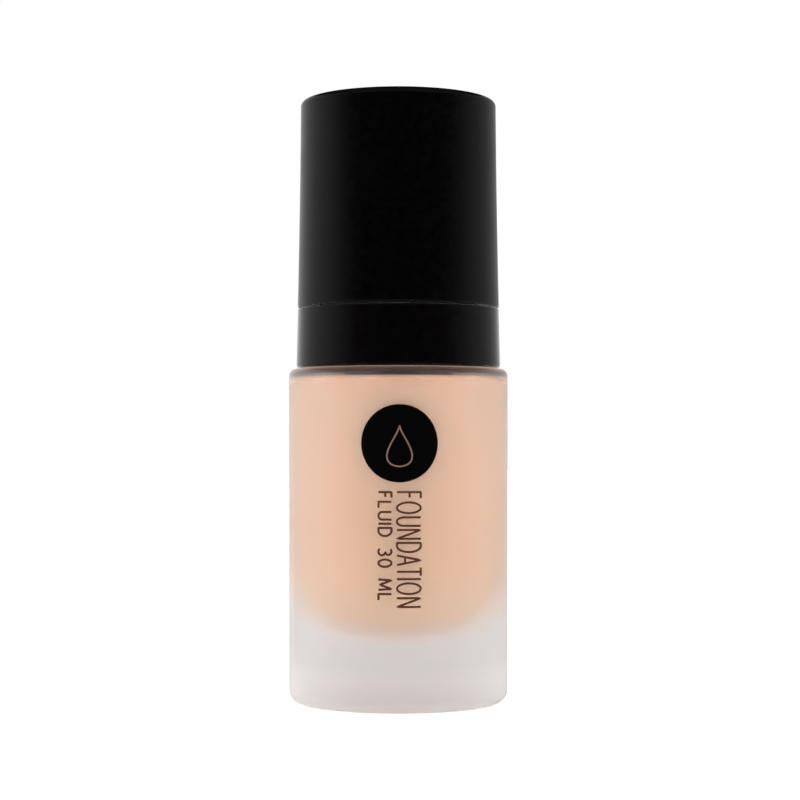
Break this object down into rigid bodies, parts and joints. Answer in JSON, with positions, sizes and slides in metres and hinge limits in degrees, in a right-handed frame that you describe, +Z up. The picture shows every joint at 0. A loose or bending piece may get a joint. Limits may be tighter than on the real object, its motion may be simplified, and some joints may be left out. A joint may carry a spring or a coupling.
{
  "type": "foundation bottle",
  "caption": "Frosted glass foundation bottle with a thick base, a treatment pump on a screw neck, a black collar and a pull-off black overcap.",
  "frame": {"origin": "centre of the base, on the plane the bottle rests on", "axes": "+Z up along the bottle's axis, -Y towards the front, where the nozzle points and the round badge is printed, +X to the right seen from the front"},
  "size_m": [0.037, 0.037, 0.1013],
  "materials": {
    "frosted_glass": "frosted, fine and even",
    "foundation_liquid": "smooth opaque beige liquid",
    "black_cap": "satin black",
    "black_closure": "moulded black, matt",
    "black_actuator": "satin black",
    "natural_plastic": "natural milky moulding",
    "tube_plastic": "extruded, milky clear",
    "foam_gasket": "closed-cell foam",
    "spring_steel": "drawn stainless wire",
    "ball_steel": "polished ball"
  },
  "bodies": {
    "bottle": {"glass_bottle": "frosted_glass", "foundation_fill": "foundation_liquid"},
    "pump_body": {"pump_housing": "natural_plastic", "housing_cap": "natural_plastic", "neck_gasket": "foam_gasket", "dip_tube": "tube_plastic", "return_spring": "spring_steel"},
    "closure": {"closure_ring": "black_closure", "collar_shell": "black_cap"},
    "overcap": {"overcap_shell": "black_cap", "overcap_liner": "natural_plastic"},
    "stem": {"pump_stem": "natural_plastic", "stem_valve": "natural_plastic"},
    "head": {"actuator_shell": "black_actuator", "actuator_core": "black_actuator", "nozzle_tip": "natural_plastic"},
    "piston": {"piston": "natural_plastic"},
    "ball": {"check_ball": "ball_steel"}
  },
  "joints": [
    {"name": "pump_lift", "type": "slide", "parent": "bottle", "child": "pump_body", "axis": [0, 0, 1], "range_m": [0, 0.0035]},
    {"name": "closure_turn", "type": "hinge", "parent": "pump_body", "child": "closure", "pos_m": [0, 0, 0.061], "axis": [0, 0, 1], "range_deg": [0, 396]},
    {"name": "overcap_pull", "type": "slide", "parent": "closure", "child": "overcap", "axis": [0, 0, 1], "range_m": [0, 0.035]},
    {"name": "stem_press", "type": "slide", "parent": "pump_body", "child": "stem", "axis": [0, 0, -1], "range_m": [0, 0.004], "stiffness_N_per_m": 1000, "springref_m": -0.003, "deforming": ["return_spring"]},
    {"name": "head_swivel", "type": "hinge", "parent": "stem", "child": "head", "pos_m": [0, 0, 0.084], "axis": [0, 0, 1], "continuous": true},
    {"name": "piston_follow", "type": "slide", "parent": "pump_body", "child": "piston", "axis": [0, 0, -1], "range_m": [0, 0.0032]},
    {"name": "ball_lift", "type": "slide", "parent": "pump_body", "child": "ball", "axis": [0, 0, 1], "range_m": [0, 0.0008]}
  ],
  "couplings": [
    {"joint": "pump_lift", "follows": "closure_turn", "m_per_rad": 0.00050532},
    {"joint": "piston_follow", "follows": "stem_press", "ratio": 0.8}
  ]
}
